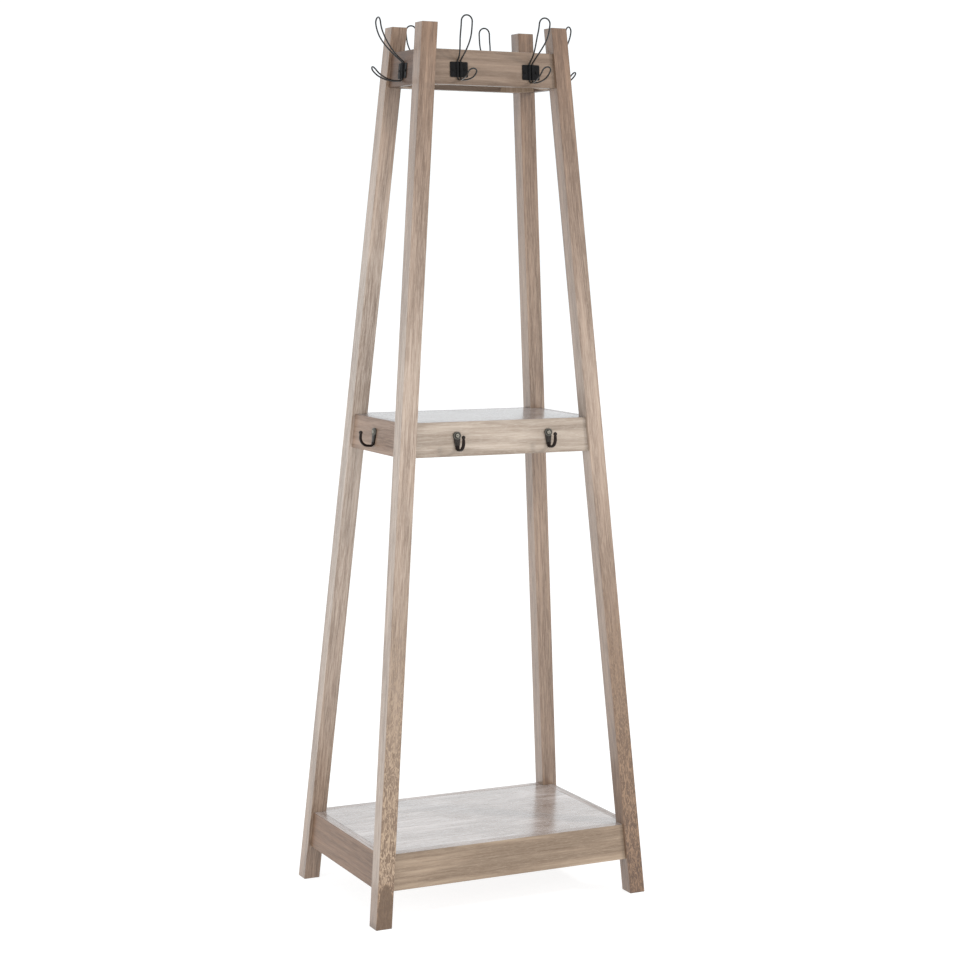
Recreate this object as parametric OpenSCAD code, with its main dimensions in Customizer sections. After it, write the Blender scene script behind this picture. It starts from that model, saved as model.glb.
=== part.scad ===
// Free-standing coat rack. Four square legs lean inward from a wide foot to a
// small crown. Three frames of rails tie them together, and a board closes the
// top of each frame. Wire hooks sit on the top frame and small cast hooks on the
// middle one. +Z is up, the front faces -Y, and the origin is on the floor in
// the middle of the four feet. All sizes are in millimetres.

/* [Overall] */
// Height of the legs, from the floor to their sawn tops
leg_h = 1800; // [1500:10:2160]
// Width across the outside of the feet, at the floor
foot_w = 620; // [515:5:745]
// Depth across the outside of the feet, at the floor
foot_d = 420; // [350:5:505]
// Width across the outside of the legs, at their tops
crown_w = 325; // [290:5:390]
// Depth across the outside of the legs, at their tops
crown_d = 182; // [170:2:220]

/* [Legs and rails] */
// Side of the square leg, measured level
leg = 35; // [29:0.5:42]
// Thickness of every rail
rail_t = 18; // [15:0.5:22]
// Step from a leg's outer face back to the rail's face
setback = 7; // [4:0.5:9]
// Height of the lower frame's bottom edge above the floor
low_z = 73; // [40:1:200]
// Height of the lower rails
low_h = 74; // [60:1:90]
// Height of the middle frame's bottom edge above the floor
mid_z = 936; // [780:1:1120]
// Height of the middle rails
mid_h = 70; // [58:1:84]
// Height of the top rails
top_h = 70; // [58:1:84]
// Height of the leg tops above the top frame
crown_up = 52; // [20:1:80]

/* [Boards and corner blocks] */
// Thickness of the three boards
board_t = 12; // [10:0.5:15]
// Joint left round the boards
board_gap = 0.3; // [0.2:0.1:1]
// Short side of the triangular corner blocks
block = 52; // [44:1:60]
// Width and height of the strips that carry the two shelves
cleat = 18; // [14:1:22]
// Gap between a strip's end and the corner block
cleat_gap = 2; // [1:0.5:6]

/* [Joinery] */
// Diameter of the wooden dowels
dowel_d = 8; // [6:0.2:9.6]
// How far a dowel reaches into the leg
dowel_leg = 13; // [10:0.5:14]
// How far a dowel reaches into the rail
dowel_rail = 19; // [14:0.5:24]
// Front and back rails: dowel centre to the rail's edge
dowel_edge = 11; // [8:0.5:13]
// Side rails: dowel centre to the rail's middle
dowel_mid = 13; // [11:0.5:16]
// Diameter of the lag screw through each corner block
lag_d = 6; // [5:0.5:7]
// How far a lag screw reaches into the leg
lag_leg = 22; // [16:0.5:26]
// Width across the flats of a lag screw's head
lag_flats = 10; // [8:0.5:12]
// Thickness of a lag screw's head
lag_head = 4; // [3:0.5:6]
// Outer diameter of the washers
washer_d = 14; // [12:0.5:18]
// Thickness of the washers
washer_t = 1.5; // [1:0.1:2]
// Diameter of the screws that hold the strips
cleat_screw_d = 4; // [3:0.5:5]
// How far those screws reach into the rail
cleat_screw_in = 11; // [8:0.5:13]
// Clearance all round a dowel or a screw
bore_gap = 0.1; // [0.05:0.05:0.4]

/* [Wire hooks] */
// Distance of the front and back hooks from the middle
hook_x = 81; // [60:1:100]
// Height of a bracket's middle above the rail's bottom edge
hook_up = 29.8; // [25:0.2:36]
// Width of the pressed bracket
plate_w = 39; // [34:1:48]
// Height of the pressed bracket
plate_h = 30.5; // [27:0.5:38]
// Thickness of the bracket's sheet
plate_t = 1.5; // [1:0.1:2]
// Diameter of the wire
wire_d = 3.2; // [2.5:0.1:4]
// Distance between the two strands inside the bracket
strand_pitch = 7; // [6.6:0.1:8.4]
// Width of the upper loop, from wire centre to wire centre
loop_w = 24; // [20:1:30]
// Width of the lower loop, from wire centre to wire centre
low_loop_w = 18; // [14:1:22]
// Radius of the bend where the wire leaves the bracket's top
bend_r = 5; // [4:0.5:8]
// Radius of the bend where the wire leaves the bracket's bottom
low_bend_r = 6; // [3:0.5:8]
// Clearance round the wire in its channel
wire_gap = 0.1; // [0.05:0.05:0.3]
// Diameter of the bracket screws
bracket_screw_d = 3; // [2.5:0.5:4]
// Length of the bracket screws below their heads
bracket_screw_l = 15; // [12:0.5:16]
// Diameter of the bracket screws' heads
bracket_head_d = 6; // [5:0.5:8]

/* [Cast hooks] */
// Distance of the front and back hooks from the middle
cast_x = 104; // [80:1:120]
// Height of a hook's round head above the rail's bottom edge
cast_up = 42; // [38:0.5:48]
// Radius of the round head
cast_head_r = 8.5; // [7:0.5:10]
// Thickness of the back plate
cast_t = 4; // [3:0.5:5]
// Length of the back plate below the head's middle
cast_drop = 23.5; // [19:0.5:28]
// Width of the back plate at its foot
cast_foot_w = 9; // [7:0.5:12]
// Width of the arm
arm_w = 6.6; // [6:0.2:9]
// Thickness of the arm
arm_t = 5.4; // [4:0.2:5.8]
// Radius of the bend under the plate's foot, to the middle of the arm
arm_foot_r = 5.7; // [5:0.1:8]
// Length of the level stretch between the two bends
arm_level = 6; // [0:0.5:12]
// Radius of the arm's upward sweep, to the middle of the arm
arm_r = 17; // [12:0.5:22]
// Length of the upright end of the arm, up to the ball's middle
arm_up = 9; // [5:0.5:14]
// Radius of the ball at the arm's end
ball_r = 4; // [3:0.1:5.5]
// Diameter of the cast hooks' screws
cast_screw_d = 3.5; // [3:0.5:4.5]
// Length of the cast hooks' screws below their heads, where the rail is thick enough
cast_screw_l = 19; // [15:0.5:20]
// Diameter of the cast hooks' screw heads
cast_screw_head = 8; // [7:0.5:9]

/* [Hidden] */

$fn = 48;
top_z = leg_h - crown_up - top_h;
// The three frames, as [bottom edge, rail height].
FRAMES = [[low_z, low_h], [mid_z, mid_h], [top_z, top_h]];
LOW = 0;
MID = 1;
TOP = 2;
// The four sides of the rack, as quarter turns from the front.
FRONT = 0;
RIGHT = 1;
BACK = 2;
LEFT = 3;
SIDES = [FRONT, RIGHT, BACK, LEFT];
LEFTWARD = -1;
RIGHTWARD = 1;
FRONTWARD = -1;
BACKWARD = 1;
CORNERS = [[LEFTWARD, FRONTWARD], [RIGHTWARD, FRONTWARD], [LEFTWARD, BACKWARD], [RIGHTWARD, BACKWARD]];
far = 2 * foot_w; // longer than any piece that it cuts

// Wire hooks, as [side, distance along it, upper reach, upper rise, lower reach, lower rise].
// Each wire is bent by hand on the bench, so the loops' reaches and rises differ a little.
HOOK_FL = [FRONT, -hook_x, 42, 102, 67, -6];
HOOK_FR = [FRONT, hook_x, 66, 100, 74, 2];
HOOK_BL = [BACK, hook_x, 57, 101, 66, -1];
HOOK_BR = [BACK, -hook_x, 40, 103, 68, 1];
HOOK_R = [RIGHT, 0, 61, 100, 70, 6];
HOOK_L = [LEFT, 0, 63, 99, 67, 0];
WIRE_HOOKS = [HOOK_FL, HOOK_FR, HOOK_BL, HOOK_BR, HOOK_R, HOOK_L];
// Cast hooks, as [side, distance along it].
CAST_HOOKS = [[FRONT, -cast_x], [FRONT, cast_x], [BACK, cast_x], [BACK, -cast_x], [RIGHT, 0], [LEFT, 0]];

// ---- The leaning outline ----
// Half of the outside width and depth across the legs, at a height.
function half_w(z) = (foot_w + (crown_w - foot_w) * z / leg_h) / 2;
function half_d(z) = (foot_d + (crown_d - foot_d) * z / leg_h) / 2;
// The same, square to a side and along it.
function half_out(side, z) = side % 2 == 0 ? half_d(z) : half_w(z);
function half_along(side, z) = side % 2 == 0 ? half_w(z) : half_d(z);
function lean(side) = atan((half_out(side, 0) - half_out(side, leg_h)) / leg_h);
function inside_w(z) = half_w(z) - setback - rail_t;
function inside_d(z) = half_d(z) - setback - rail_t;
function frame_top(f) = FRAMES[f][0] + FRAMES[f][1];
function frame_middle(f) = FRAMES[f][0] + FRAMES[f][1] / 2;

// A flat outline in (y, z), drawn out along X, and one in (x, z), drawn out along Y.
module drawn_along_x() {
    rotate([90, 0, 90]) linear_extrude(far, center = true) children();
}
module drawn_along_y() {
    rotate([90, 0, 0]) linear_extrude(far, center = true) children();
}
// Four-sided outline between two heights, with its two ends at each height.
module leaning_outline(z0, z1, a0, b0, a1, b1) {
    polygon([[a0, z0], [b0, z0], [b1, z1], [a1, z1]]);
}
// Everything inside the rails' inner faces between two heights.
module inside_of_frame(z0, z1, gap = 0) {
    intersection() {
        drawn_along_y() leaning_outline(z0, z1,
            -inside_w(z0) + gap, inside_w(z0) - gap, -inside_w(z1) + gap, inside_w(z1) - gap);
        drawn_along_x() leaning_outline(z0, z1,
            -inside_d(z0) + gap, inside_d(z0) - gap, -inside_d(z1) + gap, inside_d(z1) - gap);
    }
}
// Stands its children on a rail's face: X along the rail, -Y outward, Z up the face.
module on_face(side, along, z) {
    rotate([0, 0, 90 * side])
        translate([along, -(half_out(side, z) - setback), z])
            rotate([-lean(side), 0, 0]) children();
}
// A cylinder that starts at a face and runs inward, square to it.
module into_face(d, depth, above = 0) {
    translate([0, -above, 0]) rotate([-90, 0, 0]) cylinder(d = d, h = depth + above);
}

// ---- Legs ----
// One leaning leg without its bores. grow makes it larger all round, to cut notches with.
module leg_stock(corner, grow = 0) {
    intersection() {
        drawn_along_y() mirror([corner[0] < 0 ? 1 : 0, 0]) leaning_outline(-grow, leg_h + grow,
            half_w(-grow) - leg - grow, half_w(-grow) + grow,
            half_w(leg_h + grow) - leg - grow, half_w(leg_h + grow) + grow);
        drawn_along_x() mirror([corner[1] < 0 ? 1 : 0, 0]) leaning_outline(-grow, leg_h + grow,
            half_d(-grow) - leg - grow, half_d(-grow) + grow,
            half_d(leg_h + grow) - leg - grow, half_d(leg_h + grow) + grow);
    }
}
module leg_piece(corner, tint) {
    color(tint) difference() {
        leg_stock(corner);
        for (f = [LOW, MID, TOP]) {
            rail_dowels(corner[1] < 0 ? FRONT : BACK, f, [corner[0] * -corner[1]], bore_gap);
            rail_dowels(corner[0] > 0 ? RIGHT : LEFT, f, [corner[0] * corner[1]], bore_gap);
            lag_shank(corner, f, bore_gap);
        }
    }
}

// ---- Rails ----
// A dowel's distance above and below the rail's middle.
function dowel_offset(side, f) = side % 2 == 0 ? FRAMES[f][1] / 2 - dowel_edge : dowel_mid;
// The dowels at one or both ends of a rail; gap makes them into their bores.
module rail_dowels(side, f, ends, gap = 0) {
    rotate([0, 0, 90 * side]) for (end = ends, up = [-1, 1]) {
        z = frame_middle(f) + up * dowel_offset(side, f);
        joint = half_along(side, z) - leg;
        translate([end * (joint - dowel_rail - gap), -(half_out(side, z) - setback - rail_t / 2), z])
            rotate([0, 90 * end, 0])
                cylinder(d = dowel_d + 2 * gap, h = dowel_rail + dowel_leg + 2 * gap);
    }
}
module frame_dowels(f) {
    color("burlywood") for (side = SIDES) rail_dowels(side, f, [-1, 1]);
}
module rail_stock(side, f) {
    z0 = FRAMES[f][0];
    z1 = frame_top(f);
    face0 = -(half_out(side, z0) - setback);
    face1 = -(half_out(side, z1) - setback);
    end0 = half_along(side, z0) - leg;
    end1 = half_along(side, z1) - leg;
    rotate([0, 0, 90 * side]) intersection() {
        drawn_along_x() leaning_outline(z0, z1, face0, face0 + rail_t, face1, face1 + rail_t);
        drawn_along_y() leaning_outline(z0, z1, -end0, end0, -end1, end1);
    }
}
module rail_piece(side, f, tint) {
    color(tint) difference() {
        rail_stock(side, f);
        rail_dowels(side, f, [-1, 1], bore_gap);
        if (f == TOP) for (hook = WIRE_HOOKS) if (hook[0] == side) bracket_screw_pair(hook, bore_gap);
        if (f == MID) for (hook = CAST_HOOKS) if (hook[0] == side) cast_screw_shank(hook, bore_gap);
        if (f != TOP && side % 2 == 0) cleat_screw_row(f, side, bore_gap);
    }
}

// ---- Boards ----
module board_piece(f, tint) {
    color(tint) difference() {
        inside_of_frame(frame_top(f) - board_t, frame_top(f), board_gap);
        for (corner = CORNERS) leg_stock(corner, board_gap);
    }
}

// ---- Corner blocks, lag screws and washers ----
// Where the long face of a block crosses the line from the rack's middle to the leg.
function block_face(corner, f) = [
    corner[0] * (inside_w(FRAMES[f][0]) - block / 2),
    corner[1] * (inside_d(FRAMES[f][0]) - block / 2)
];
// The inner arris of a leg, where the lag screw enters it.
function leg_arris(corner, f) = [
    corner[0] * (half_w(frame_middle(f)) - leg),
    corner[1] * (half_d(frame_middle(f)) - leg)
];
// Distance from the arris back to the block's long face, along the screw.
function block_depth(corner, f) =
    (leg_arris(corner, f) - block_face(corner, f)) * [corner[0], corner[1]] / sqrt(2);
// Turns its children so that +X runs through the arris into the leg.
module toward_leg(corner, f) {
    arris = leg_arris(corner, f);
    translate([arris[0], arris[1], frame_middle(f)])
        rotate([0, 0, atan2(corner[1], corner[0])]) children();
}
module lag_shank(corner, f, gap = 0) {
    back = block_depth(corner, f) + washer_t;
    toward_leg(corner, f) translate([-back, 0, 0]) rotate([0, 90, 0])
        cylinder(d = lag_d + 2 * gap, h = back + lag_leg + gap);
}
module block_piece(corner, f, tint) {
    z0 = FRAMES[f][0];
    z1 = frame_top(f) - board_t;
    reach = inside_w(z0) + inside_d(z0) - block;
    color(tint) difference() {
        intersection() {
            inside_of_frame(z0, z1);
            mirror([corner[0] < 0 ? 1 : 0, 0]) mirror([0, corner[1] < 0 ? 1 : 0])
                linear_extrude(z1) polygon([[reach, 0], [far, 0], [far, far], [0, far], [0, reach]]);
        }
        leg_stock(corner, board_gap);
        lag_shank(corner, f, bore_gap);
    }
}
module lag_screws() {
    color("silver") for (corner = CORNERS, f = [LOW, MID, TOP]) {
        lag_shank(corner, f);
        toward_leg(corner, f) translate([-block_depth(corner, f) - washer_t, 0, 0])
            rotate([0, -90, 0]) cylinder(d = lag_flats / cos(30), h = lag_head, $fn = 6);
    }
}
module lag_washers() {
    color("gainsboro") for (corner = CORNERS, f = [LOW, MID, TOP])
        toward_leg(corner, f) translate([-block_depth(corner, f), 0, 0]) rotate([0, -90, 0])
            difference() {
                cylinder(d = washer_d, h = washer_t);
                translate([0, 0, -1]) cylinder(d = lag_d + 2 * bore_gap, h = washer_t + 2);
            }
}

// ---- Strips under the two shelves ----
function cleat_half(f) = inside_w(frame_top(f)) - block - cleat_gap;
function cleat_z(f) = frame_top(f) - board_t - cleat / 2;
function cleat_face(f) = -(inside_d(cleat_z(f)) - cleat);
// Three screws along each strip, one in the middle and one near each end.
module cleat_screw_row(f, side, gap = 0) {
    inset = 30;
    rotate([0, 0, 90 * side]) for (k = [-1, 0, 1])
        translate([k * (cleat_half(f) - inset), cleat_face(f) + 1, cleat_z(f)]) rotate([90, 0, 0])
            cylinder(d = cleat_screw_d + 2 * gap, h = cleat + 1 + cleat_screw_in + gap);
}
module cleat_pair(f) {
    z1 = frame_top(f) - board_t;
    color("tan") for (side = [FRONT, BACK]) difference() {
        rotate([0, 0, 90 * side]) intersection() {
            inside_of_frame(z1 - cleat, z1);
            translate([-cleat_half(f), cleat_face(f) - far, z1 - cleat])
                cube([2 * cleat_half(f), far, cleat]);
        }
        cleat_screw_row(f, side, bore_gap);
    }
}

// The screws of both pairs of strips, with their heads let in flush.
module cleat_screws() {
    color("gold") for (f = [LOW, MID], side = [FRONT, BACK]) cleat_screw_row(f, side);
}

// ---- Wire hooks ----
wire_out = wire_d / 2 + wire_gap;       // wire centre above the rail's face
channel_r = wire_d / 2 + wire_gap;      // inside of a bracket's channel
wing_x = (plate_w / 2 + strand_pitch / 2 + channel_r + plate_t) / 2; // middle of a wing

module bracket_screw_pair(hook, gap = 0) {
    on_face(hook[0], hook[1], frame_middle_of_hooks()) for (k = [-1, 1])
        translate([k * wing_x, 0, 0])
            into_face(bracket_screw_d + 2 * gap, bracket_screw_l - plate_t + gap, plate_t);
}
function frame_middle_of_hooks() = top_z + hook_up;
// Pressed sheet: two flat wings and two half-round channels over the strands.
module bracket_section() {
    difference() {
        union() {
            translate([-plate_w / 2, 0]) square([plate_w, plate_t]);
            for (k = [-1, 1]) translate([k * strand_pitch / 2, 0]) {
                translate([0, wire_out]) circle(r = channel_r + plate_t);
                translate([-channel_r - plate_t, 0]) square([2 * (channel_r + plate_t), wire_out]);
            }
        }
        for (k = [-1, 1]) translate([k * strand_pitch / 2, 0]) {
            translate([0, wire_out]) circle(r = channel_r);
            translate([-channel_r, -1]) square([2 * channel_r, wire_out + 1]);
        }
        translate([-far / 2, -far]) square([far, far]);
    }
}
module bracket_piece(hook) {
    color("dimgray") difference() {
        on_face(hook[0], hook[1], frame_middle_of_hooks())
            mirror([0, 1, 0]) linear_extrude(plate_h, center = true) bracket_section();
        bracket_screw_pair(hook, bore_gap);
    }
}
module bracket_screws() {
    head_h = 2.2;
    color("black") for (hook = WIRE_HOOKS) {
        bracket_screw_pair(hook);
        on_face(hook[0], hook[1], frame_middle_of_hooks()) for (k = [-1, 1])
            translate([k * wing_x, -plate_t, 0]) rotate([90, 0, 0])
                cylinder(d1 = bracket_head_d, d2 = bracket_head_d * 0.6, h = head_h);
    }
}

// The wire is one closed ring. Its side view is a profile in (out, up); the two
// strands lie either side of it and meet in a round end at the tip.
function bezier(p, t) =
    pow(1 - t, 3) * p[0] + 3 * pow(1 - t, 2) * t * p[1] + 3 * (1 - t) * t * t * p[2] + pow(t, 3) * p[3];
function slope(p, t) =
    3 * (pow(1 - t, 2) * (p[1] - p[0]) + 2 * (1 - t) * t * (p[2] - p[1]) + t * t * (p[3] - p[2]));
upper_bend = 58; // degrees that the wire leans out by as it leaves the bracket's top
upper_pull = 0.7; // how long it keeps that lean, as a share of its reach
upper_tip = 30;  // straightness of the upper tip
lower_bend = 80; // degrees that the wire turns through as it leaves the bracket's bottom
lower_pull = 0.42; // how long it keeps that slope, as a share of its reach
lower_tip = 17;  // straightness of the lower tip
tip_slope = 59;  // degrees above level at the lower tip
// Where a bend that starts at the bracket's edge ends, as (out, up).
function bend_end(r, turn, s) = [wire_out + r * (1 - cos(turn)), s * (plate_h / 2 + r * sin(turn))];
function upper_profile(hook) =
    let (p0 = bend_end(bend_r, upper_bend, 1), p3 = [hook[2], hook[3]])
    [p0, p0 + upper_pull * (p3[0] - p0[0]) * [sin(upper_bend), cos(upper_bend)], p3 - [0, upper_tip], p3];
function lower_profile(hook) =
    let (p0 = bend_end(low_bend_r, lower_bend, -1), p3 = [hook[4], hook[5]])
    [p0, p0 + lower_pull * hook[4] * [sin(lower_bend), -cos(lower_bend)],
        p3 - lower_tip * [cos(tip_slope), sin(tip_slope)], p3];
// One ring centre as [point, direction across the ribbon of wire].
function ring_at(x, out_up, dir, up) =
    let (across = up ? [dir[1], -dir[0]] : [-dir[1], dir[0]])
    [[x, -out_up[0], out_up[1]], [0, -across[0], across[1]] / norm(across)];
// The strands part slowly at first, and run side by side again over the last quarter.
function half_gap(w, t, cap) =
    let (u = min(1, t / (0.75 * cap)))
    strand_pitch / 2 + (w - strand_pitch) / 2 * u * u * (3 - 2 * u);
strand_steps = 11;
cap_steps = 8;
function loop_of_wire(p, w, tip, up, side) =
    let (cap = 1 - w / 2 / (3 * tip))
    concat(
        [for (i = [0:strand_steps]) let (t = cap * i / strand_steps)
            ring_at(side * half_gap(w, t, cap), bezier(p, t), slope(p, t), up)],
        [for (i = [1:cap_steps - 1]) let (a = 180 * i / cap_steps, t = cap + w / 2 * sin(a) / (3 * tip))
            ring_at(side * w / 2 * cos(a), bezier(p, t), slope(p, t), up)],
        [for (i = [strand_steps:-1:0]) let (t = cap * i / strand_steps)
            ring_at(-side * half_gap(w, t, cap), bezier(p, t), slope(p, t), up)]
    );
// The bend at the bracket's top or bottom, on one strand, from the bracket outward.
function bend_of_wire(side, up) =
    let (r = up ? bend_r : low_bend_r, turn = up ? upper_bend : lower_bend, s = up ? 1 : -1)
    [for (i = [0:2]) let (a = turn * i / 3)
        ring_at(side * strand_pitch / 2, bend_end(r, a, s), [sin(a), s * cos(a)], up)];
function backwards(list) = [for (i = [len(list) - 1:-1:0]) list[i]];
function wire_ring(hook) = concat(
    bend_of_wire(1, true),
    loop_of_wire(upper_profile(hook), loop_w, upper_tip, true, 1),
    backwards(bend_of_wire(-1, true)),
    bend_of_wire(-1, false),
    loop_of_wire(lower_profile(hook), low_loop_w, lower_tip, false, -1),
    backwards(bend_of_wire(1, false))
);
wire_sides = 8;
module wire_tube(rings) {
    n = len(rings);
    points = [for (i = [0:n - 1])
        let (ahead = rings[(i + 1) % n][0] - rings[(i + n - 1) % n][0],
             flat = rings[i][1],
             side = cross(ahead, flat) / norm(cross(ahead, flat)),
             over = cross(side, ahead) / norm(cross(side, ahead)))
        for (j = [0:wire_sides - 1])
            let (a = 360 * j / wire_sides)
            rings[i][0] + wire_d / 2 * (cos(a) * over + sin(a) * side)];
    faces = [for (i = [0:n - 1], j = [0:wire_sides - 1])
        let (a = i * wire_sides, b = (i + 1) % n * wire_sides, k = (j + 1) % wire_sides)
        [a + j, b + j, b + k, a + k]];
    polyhedron(points, faces);
}
module wire_piece(hook) {
    color("black") on_face(hook[0], hook[1], frame_middle_of_hooks()) wire_tube(wire_ring(hook));
}

// ---- Cast hooks ----
cast_screw_back = 2; // wood left behind the point of a cast hook's screw
cast_screw_in = min(cast_screw_l - cast_t, rail_t - cast_screw_back);
module cast_screw_shank(hook, gap = 0) {
    on_face(hook[0], hook[1], mid_z + cast_up)
        into_face(cast_screw_d + 2 * gap, cast_screw_in + gap, cast_t);
}
module cast_hook_screws() {
    head_h = 2.6;
    color("darkgray") for (hook = CAST_HOOKS) {
        cast_screw_shank(hook);
        on_face(hook[0], hook[1], mid_z + cast_up) translate([0, -cast_t, 0]) rotate([90, 0, 0])
            cylinder(d1 = cast_screw_head, d2 = cast_screw_head * 0.6, h = head_h);
    }
}
// Outline of the arm cut across: a flat bar with round edges.
module arm_section() {
    square([arm_t, arm_w - arm_t], center = true);
    for (k = [-1, 1]) translate([0, k * (arm_w - arm_t) / 2]) circle(d = arm_t);
}
// The arm bent on a radius, in the plane square to the rail.
module arm_arc(r, from, to) {
    rotate([90, 0, -90]) rotate([0, 0, from]) rotate_extrude(angle = to - from) translate([r, 0])
        arm_section();
}
module cast_piece(hook) {
    middle_out = arm_t / 2;                      // where the middle of the arm leaves the plate's foot
    sweep_out = middle_out + arm_foot_r + arm_level;
    sweep_up = -cast_drop - arm_foot_r + arm_r;
    end_out = sweep_out + arm_r;
    color("dimgray") difference() {
        on_face(hook[0], hook[1], mid_z + cast_up) {
            rotate([90, 0, 0]) linear_extrude(cast_t) {
                circle(r = cast_head_r);
                polygon([[-cast_head_r * 0.93, -3], [cast_head_r * 0.93, -3],
                    [cast_foot_w / 2, -cast_drop], [-cast_foot_w / 2, -cast_drop]]);
            }
            translate([0, -middle_out - arm_foot_r, -cast_drop]) arm_arc(arm_foot_r, 180, 270);
            if (arm_level > 0) translate([0, -middle_out - arm_foot_r, -cast_drop - arm_foot_r])
                rotate([90, 90, 0]) linear_extrude(arm_level) arm_section();
            translate([0, -sweep_out, sweep_up]) arm_arc(arm_r, 270, 360);
            translate([0, -end_out, sweep_up]) rotate([0, 0, 90]) linear_extrude(arm_up) arm_section();
            translate([0, -end_out, sweep_up + arm_up]) sphere(r = ball_r);
        }
        cast_screw_shank(hook, bore_gap);
    }
}

// ---- Every node, drawn by name ----
leg_piece([LEFTWARD, FRONTWARD], "rosybrown");  // leg_front_left
leg_piece([RIGHTWARD, FRONTWARD], "rosybrown");  // leg_front_right
leg_piece([LEFTWARD, BACKWARD], "rosybrown");  // leg_back_left
leg_piece([RIGHTWARD, BACKWARD], "rosybrown");  // leg_back_right
rail_piece(FRONT, LOW, "tan");  // lower_rail_front
rail_piece(RIGHT, LOW, "tan");  // lower_rail_right
rail_piece(BACK, LOW, "tan");  // lower_rail_back
rail_piece(LEFT, LOW, "tan");  // lower_rail_left
rail_piece(FRONT, MID, "tan");  // middle_rail_front
rail_piece(RIGHT, MID, "tan");  // middle_rail_right
rail_piece(BACK, MID, "tan");  // middle_rail_back
rail_piece(LEFT, MID, "tan");  // middle_rail_left
rail_piece(FRONT, TOP, "tan");  // top_rail_front
rail_piece(RIGHT, TOP, "tan");  // top_rail_right
rail_piece(BACK, TOP, "tan");  // top_rail_back
rail_piece(LEFT, TOP, "tan");  // top_rail_left
board_piece(LOW, "linen");  // lower_shelf_board
board_piece(MID, "linen");  // middle_shelf_board
board_piece(TOP, "linen");  // top_board
block_piece([LEFTWARD, FRONTWARD], LOW, "wheat");  // lower_block_front_left
block_piece([RIGHTWARD, FRONTWARD], LOW, "wheat");  // lower_block_front_right
block_piece([LEFTWARD, BACKWARD], LOW, "wheat");  // lower_block_back_left
block_piece([RIGHTWARD, BACKWARD], LOW, "wheat");  // lower_block_back_right
block_piece([LEFTWARD, FRONTWARD], MID, "wheat");  // middle_block_front_left
block_piece([RIGHTWARD, FRONTWARD], MID, "wheat");  // middle_block_front_right
block_piece([LEFTWARD, BACKWARD], MID, "wheat");  // middle_block_back_left
block_piece([RIGHTWARD, BACKWARD], MID, "wheat");  // middle_block_back_right
block_piece([LEFTWARD, FRONTWARD], TOP, "wheat");  // top_block_front_left
block_piece([RIGHTWARD, FRONTWARD], TOP, "wheat");  // top_block_front_right
block_piece([LEFTWARD, BACKWARD], TOP, "wheat");  // top_block_back_left
block_piece([RIGHTWARD, BACKWARD], TOP, "wheat");  // top_block_back_right
cleat_pair(LOW);  // lower_shelf_cleats
cleat_pair(MID);  // middle_shelf_cleats
cleat_screws();
frame_dowels(LOW);  // lower_frame_dowels
frame_dowels(MID);  // middle_frame_dowels
frame_dowels(TOP);  // top_frame_dowels
lag_screws();
lag_washers();
bracket_piece(HOOK_FL);  // hook_bracket_front_left
bracket_piece(HOOK_FR);  // hook_bracket_front_right
bracket_piece(HOOK_BL);  // hook_bracket_back_left
bracket_piece(HOOK_BR);  // hook_bracket_back_right
bracket_piece(HOOK_R);  // hook_bracket_right
bracket_piece(HOOK_L);  // hook_bracket_left
wire_piece(HOOK_FL);  // wire_hook_front_left
wire_piece(HOOK_FR);  // wire_hook_front_right
wire_piece(HOOK_BL);  // wire_hook_back_left
wire_piece(HOOK_BR);  // wire_hook_back_right
wire_piece(HOOK_R);  // wire_hook_right
wire_piece(HOOK_L);  // wire_hook_left
bracket_screws();
cast_piece(CAST_HOOKS[0]);  // cast_hook_front_left
cast_piece(CAST_HOOKS[1]);  // cast_hook_front_right
cast_piece(CAST_HOOKS[2]);  // cast_hook_back_left
cast_piece(CAST_HOOKS[3]);  // cast_hook_back_right
cast_piece(CAST_HOOKS[4]);  // cast_hook_right
cast_piece(CAST_HOOKS[5]);  // cast_hook_left
cast_hook_screws();
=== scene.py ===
import math

import bmesh
import bpy
from mathutils import Matrix, Vector


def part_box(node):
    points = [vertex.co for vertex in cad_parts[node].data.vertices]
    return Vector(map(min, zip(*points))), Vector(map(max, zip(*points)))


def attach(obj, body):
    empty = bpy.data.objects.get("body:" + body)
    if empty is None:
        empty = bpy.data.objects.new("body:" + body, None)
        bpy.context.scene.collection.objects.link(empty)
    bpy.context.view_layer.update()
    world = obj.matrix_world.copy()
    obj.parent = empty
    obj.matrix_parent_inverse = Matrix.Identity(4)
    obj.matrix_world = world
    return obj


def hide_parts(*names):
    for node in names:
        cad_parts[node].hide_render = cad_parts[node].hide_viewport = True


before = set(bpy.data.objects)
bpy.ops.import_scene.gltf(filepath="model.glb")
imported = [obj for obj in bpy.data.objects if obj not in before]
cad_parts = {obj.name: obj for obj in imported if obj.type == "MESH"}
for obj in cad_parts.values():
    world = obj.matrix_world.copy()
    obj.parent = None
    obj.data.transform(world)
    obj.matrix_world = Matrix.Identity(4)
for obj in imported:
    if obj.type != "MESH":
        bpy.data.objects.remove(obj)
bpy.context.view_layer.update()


# ---- Legs ----
# Four square legs of open-grained oak, sawn level at both ends and leaning inward both ways.
# The arrises are eased with a plane, and the oak is limed: white wax is rubbed into the pores
# and wiped off, so the wood under it shows through in brown patches and streaks.
LEG = 0.035
LIMED_PALE = (0.490, 0.404, 0.342)
LIMED_MID = (0.276, 0.216, 0.174)
OAK_BROWN = (0.160, 0.106, 0.070)
LIME_WHITE = (0.680, 0.610, 0.550)


def new_finish(name):
    """An empty finish with its surface shader."""
    finish = bpy.data.materials.new(name)
    finish.use_nodes = True
    finish.node_tree.nodes.clear()
    surface = add(finish, "ShaderNodeBsdfPrincipled")
    out = add(finish, "ShaderNodeOutputMaterial")
    join(finish, surface.outputs[0], out.inputs[0])
    return finish, surface


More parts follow.
